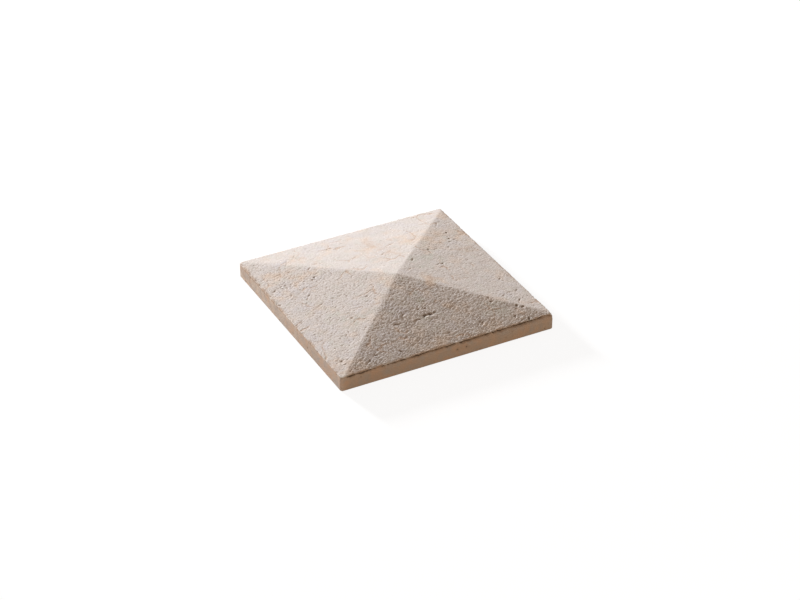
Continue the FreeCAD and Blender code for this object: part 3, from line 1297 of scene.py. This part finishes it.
@dataclass(frozen=True)
class CastStone:
    """The casting's finish: pale mottled slopes, smooth tan sides, matt all over."""

    pale: Colour = (0.855, 0.79, 0.735)
    peach: Stain = Stain((0.90, 0.745, 0.615), 34.0 * MM)
    lilac: Stain = Stain((0.835, 0.79, 0.775), 26.0 * MM)
    olive: Stain = Stain((0.775, 0.755, 0.675), 20.0 * MM)
    vein: Stain = Stain((0.70, 0.50, 0.36), 14.0 * MM, alone=0.0, most=0.8)
    cloud_start: float = 0.36
    cloud_full: float = 0.66
    cloud_low: float = -0.6
    cloud_detail: float = 4.0
    vein_most: float = 0.7
    # Brown painted shade for creases and shallow hollows, and near-black painted shade for deep ones:
    crease_shade: Colour = (0.46, 0.34, 0.25)
    crease_shade_most: float = 0.7
    # Grey of the painted shade on the roughest slope.
    rough_slope_shade: Colour = (0.58, 0.51, 0.45)
    deep_shade: Colour = (0.12, 0.085, 0.06)
    deep_shade_start: float = 0.8
    deep_shade_most: float = 0.9
    brown: Colour = (0.52, 0.35, 0.23)
    brown_most: float = 0.75
    tan: Colour = (0.545, 0.42, 0.325)
    # Paler, greyer tan for painted light on the sides, and darker tans for painted shade on the back:
    dust_and_light: Colour = (0.655, 0.55, 0.455)
    back_half_shade: Colour = (0.48, 0.375, 0.29)
    back_shade: Colour = (0.385, 0.285, 0.205)
    back_shade_most: float = 0.85
    side_mottles: tuple[Mottle, ...] = (
        Mottle((0.63, 0.42, 0.285), 22.0 * MM, 0.42, 0.66, 0.7),
        Mottle((0.49, 0.425, 0.37), 17.0 * MM, 0.46, 0.68, 0.8),
    )
    side_specks: Mottle = Mottle((0.46, 0.34, 0.25), 3.3 * MM, 0.58, 0.75, 0.55, detail=2.0)
    roughness: float = 0.9
    specular: float = 0.25
    pebble_pitch: float = 3.3 * MM
    pebble_height: float = 0.37 * MM
    # Painted shade in the gaps between the bump's pebbles:
    seam_start: float = 0.55
    seam_full: float = 0.85
    seam_shade_most: float = 0.5
    speck_pitch: float = 1.9 * MM
    speck_height: float = 0.24 * MM
    speck_detail: float = 1.0
    side_bump: float = 0.5

    def mottled(self, sheet: NodeSheet, place: Socket, colour: object, mottle: Mottle) -> Socket:
        """Lay cloudy blotches over a colour.

        Args:
            sheet: The material's tree.
            place: Coordinates.
            colour: The colour below.
            mottle: The blotches.

        Returns:
            The output with the colour.
        """
        clouds = sheet.noise(place, mottle.pitch, mottle.detail)
        share = sheet.span(clouds, mottle.start, mottle.full, 0.0, mottle.most)
        return sheet.mix(share, colour, mottle.colour)

    def sides(self, sheet: NodeSheet, place: Socket) -> Socket:
        """Colour of the smooth sides: tan with painted light and shade, rust, ash and specks.

        Args:
            sheet: The material's tree.
            place: Coordinates.

        Returns:
            The output with the colour.
        """
        tone = sheet.read("side_dust_and_painted_light")
        colour = sheet.mix(sheet.span(tone, 0.0, 1.0), self.tan, self.dust_and_light)
        colour = sheet.mix(sheet.span(tone, -1.0, 0.0, 1.0, 0.0), colour, self.back_half_shade)
        for mottle in self.side_mottles:
            colour = self.mottled(sheet, place, colour, mottle)
        # Painted shade: the back side darkest.
        worn = sheet.span(tone, -2.0, -1.0, self.back_shade_most, 0.0)
        return self.mottled(sheet, place, sheet.mix(worn, colour, self.back_shade), self.side_specks)

    def slopes(self, sheet: NodeSheet, place: Socket, seam_shade: object) -> Socket:
        """Colour of the rough slopes: pale with clouds of four tints, then painted shade on the roughest
        slope, veins and painted shade in the gaps between pebbles.

        A tint shows where its clouds and the patches kept on the mesh add up to more than 0.

        Args:
            sheet: The material's tree.
            place: Coordinates.
            seam_shade: How much painted shade each point gets in the gaps between pebbles.

        Returns:
            The output with the colour.
        """
        colour = self.pale
        for tint, stain in zip(Tint, (self.peach, self.lilac, self.olive, self.vein)):
            clouds = sheet.noise(place, stain.pitch, self.cloud_detail)
            clouds = sheet.span(clouds, self.cloud_start, self.cloud_full, self.cloud_low, stain.alone)
            both = sheet.maths("ADD", clouds, sheet.read(tint.value))
            colour = sheet.mix(sheet.span(both, 0.0, 1.0, 0.0, stain.most), colour, stain.colour)
        # Painted shade on the roughest slope.
        colour = sheet.mix(sheet.read("rough_slope_shade_share"), colour, self.rough_slope_shade)
        veins = sheet.span(sheet.read("vein_share"), 0.0, 1.0, 0.0, self.vein_most)
        # Painted shade in the gaps between pebbles, in the brown of the crease shade.
        return sheet.mix(seam_shade, sheet.mix(veins, colour, self.vein.colour), self.crease_shade)

    def material(self) -> bpy.types.Material:
        """Build the material: slopes and sides, stained at the lip, with painted shade in hollows, and fine
        bump.

        Returns:
            The material.
        """
        mat = bpy.data.materials.new("cast_stone")
        mat.use_nodes = True
        sheet = NodeSheet(mat.node_tree)
        shader = mat.node_tree.nodes["Principled BSDF"]
        shader.inputs["Roughness"].default_value = self.roughness
        shader.inputs["Specular IOR Level"].default_value = self.specular
        place = sheet.add("ShaderNodeTexCoord").outputs["Object"]
        names = ("rough_share", "hollow_shade", "grain_share", "edge_stain")
        rough, hollow_shade, grain, edge = (sheet.read(name) for name in names)
        # The gaps between pebbles get painted shade, scaled by each slope's roughness, most on the front
        # slope.
        pebbles = sheet.pebbles(place, self.pebble_pitch)
        seam_shade = sheet.span(pebbles, self.seam_start, self.seam_full, 0.0, self.seam_shade_most)
        slopes = self.slopes(sheet, place, sheet.maths("MULTIPLY", seam_shade, grain))
        colour = sheet.mix(rough, self.sides(sheet, place), slopes)
        colour = sheet.mix(sheet.span(edge, 0.0, 1.0, 0.0, self.brown_most), colour, self.brown)
        # Painted shade from the mesh: brown where it is light, near black in the groove under the lip and
        # the clefts.
        crease_shaded = sheet.span(hollow_shade, 0.0, self.deep_shade_start, 0.0, self.crease_shade_most)
        colour = sheet.mix(crease_shaded, colour, self.crease_shade)
        deep_shaded = sheet.span(hollow_shade, self.deep_shade_start, 1.0, 0.0, self.deep_shade_most)
        sheet.feed(shader.inputs["Base Color"], sheet.mix(deep_shaded, colour, self.deep_shade))
        dome = sheet.span(sheet.maths("POWER", pebbles, 2.0), 0.0, 1.0, self.pebble_height, 0.0)
        speck = sheet.noise(place, self.speck_pitch, self.speck_detail)
        speck = sheet.span(speck, 0.0, 1.0, 0.0, self.speck_height)
        height = sheet.maths("ADD", sheet.maths("MULTIPLY", dome, grain), speck)
        strength = sheet.span(rough, 0.0, 1.0, self.side_bump, 1.0)
        bump = sheet.add("ShaderNodeBump", {"Height": height, "Distance": 1.0, "Strength": strength})
        sheet.feed(shader.inputs["Normal"], bump.outputs["Normal"])
        return mat


class LampForm(Enum):
    """Outlines of an area light, each by Blender's name for it."""

    ROUND = "DISK"
    SQUARE = "SQUARE"


@dataclass(frozen=True)
class Lamp:
    """An area light that faces the cap from a place round it, in degrees and metres."""

    name: str
    form: LampForm
    azimuth: float
    elevation: float
    distance: float
    size: float
    power: float
    colour: Colour


def set_round(thing: bpy.types.Object, azimuth: float, elevation: float, distance: float,
              target: Point) -> None:
    """Set a lamp or a camera round a target and turn it there, since both look along their own -Z.

    Azimuth 0 is in front, on -Y, and both angles are in degrees.

    Args:
        thing: The lamp or the camera.
        azimuth: Its direction round the target.
        elevation: Its angle above the level.
        distance: Its distance from the target.
        target: The point that it looks at.
    """
    a, e = math.radians(azimuth), math.radians(elevation)
    back = Vector((math.sin(a) * math.cos(e), -math.cos(a) * math.cos(e), math.sin(e)))
    thing.location = Vector(target) + distance * back
    thing.rotation_euler = back.to_track_quat("Z", "Y").to_euler()
    bpy.context.scene.collection.objects.link(thing)


@dataclass(frozen=True)
class Studio:
    """Floor, light and camera round the cap.

    The key is a low light from behind that rakes over the slopes. The card stands low in front and
    throws some warm light back on the shaded side.
    """

    target: Point = (-2.69 * MM, -35.67 * MM, 25.0 * MM)
    azimuth: float = -27.76
    elevation: float = 32.80
    distance: float = 4.671
    lens: float = 98.58
    sensor: float = 36.0
    sight: float = 100.0
    lamps: tuple[Lamp, ...] = (
        Lamp("key", LampForm.ROUND, 193.5, 13.8, 7.5, 0.92, 918.0, (0.985, 1.0, 1.04)),
        Lamp("card", LampForm.SQUARE, 8.0, 7.0, 2.0, 1.2, 6.3, (1.0, 0.70, 0.36)),
    )
    fill_colour: Colour = (1.13, 1.0, 0.93)
    fill_strength: float = 0.286
    white: Colour = (1.0, 1.0, 1.0)
    floor_colour: Colour = (0.78, 0.72, 0.66)
    floor_reach: float = 30.0
    floor_gap: float = 0.2 * MM
    floor_glow: float = 0.88
    floor_shadow: float = 0.2

    def place_camera(self) -> None:
        """Camera at the picture's angle."""
        data = bpy.data.cameras.new("camera")
        data.lens = self.lens
        data.sensor_width = self.sensor
        data.clip_end = self.sight
        camera = bpy.data.objects.new("camera", data)
        set_round(camera, self.azimuth, self.elevation, self.distance, self.target)
        bpy.context.scene.camera = camera

    def place_lamps(self) -> None:
        """The lamps, each turned to the middle of the cap's underside."""
        for lamp in self.lamps:
            data = bpy.data.lights.new(lamp.name, "AREA")
            data.shape = lamp.form.value
            data.energy = lamp.power
            data.size = lamp.size
            data.color = lamp.colour
            light = bpy.data.objects.new(lamp.name, data)
            set_round(light, lamp.azimuth, lamp.elevation, lamp.distance, (0.0, 0.0, 0.0))

    def light_world(self) -> None:
        """Soft warm fill from all round, with a white background behind it."""
        world = bpy.data.worlds.new("studio")
        bpy.context.scene.world = world
        world.use_nodes = True
        world.node_tree.nodes.clear()
        sheet = NodeSheet(world.node_tree)
        feeds = {"Color": self.fill_colour, "Strength": self.fill_strength}
        fill = sheet.add("ShaderNodeBackground", feeds)
        white = sheet.add("ShaderNodeBackground", {"Color": self.white})
        sheet.add("ShaderNodeOutputWorld", {"Surface": sheet.shade(sheet.shown(), fill, white)})

    def lay_floor(self) -> None:
        """Wide white floor that shows the cap's shadow faintly."""
        r, z = self.floor_reach, -self.floor_gap
        points = np.array([[-r, -r, z], [r, -r, z], [r, r, z], [-r, r, z]])
        mesh = skin_mesh("floor", points, np.array([[0, 1, 2, 3]]), np.zeros((0, 3)))
        mat = bpy.data.materials.new("floor_white")
        mat.use_nodes = True
        mat.node_tree.nodes.clear()
        sheet = NodeSheet(mat.node_tree)
        matt = sheet.add("ShaderNodeBsdfDiffuse", {"Color": self.floor_colour})
        glow = sheet.add("ShaderNodeEmission", {"Color": (self.floor_glow,) * 3})
        faint = sheet.add("ShaderNodeBsdfDiffuse", {"Color": (self.floor_shadow,) * 3})
        white = sheet.add("ShaderNodeAddShader", {0: glow.outputs[0], 1: faint.outputs[0]})
        sheet.add("ShaderNodeOutputMaterial", {"Surface": sheet.shade(sheet.shown(), matt, white)})
        mesh.materials.append(mat)
        floor = bpy.data.objects.new("floor", mesh)
        bpy.context.scene.collection.objects.link(floor)


def main() -> None:
    """Build the cap, dress it, set it in the studio and log how many points and faces it has."""
    logging.basicConfig(level=logging.INFO)
    low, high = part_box(NODE)
    shape = CapShape(low, high)
    cap = PierCap(shape, Relief(shape), RaggedLip()).build()
    cap.data.materials.append(CastStone().material())
    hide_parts(NODE)
    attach(cap, BODY)
    LOG.info("%s: %d points, %d faces", cap.name, len(cap.data.vertices), len(cap.data.polygons))
    studio = Studio()
    studio.lay_floor()
    studio.light_world()
    studio.place_lamps()
    studio.place_camera()
    bpy.context.scene.view_settings.view_transform = "Standard"
    bpy.context.view_layer.update()


if __name__ == "__main__":
    main()
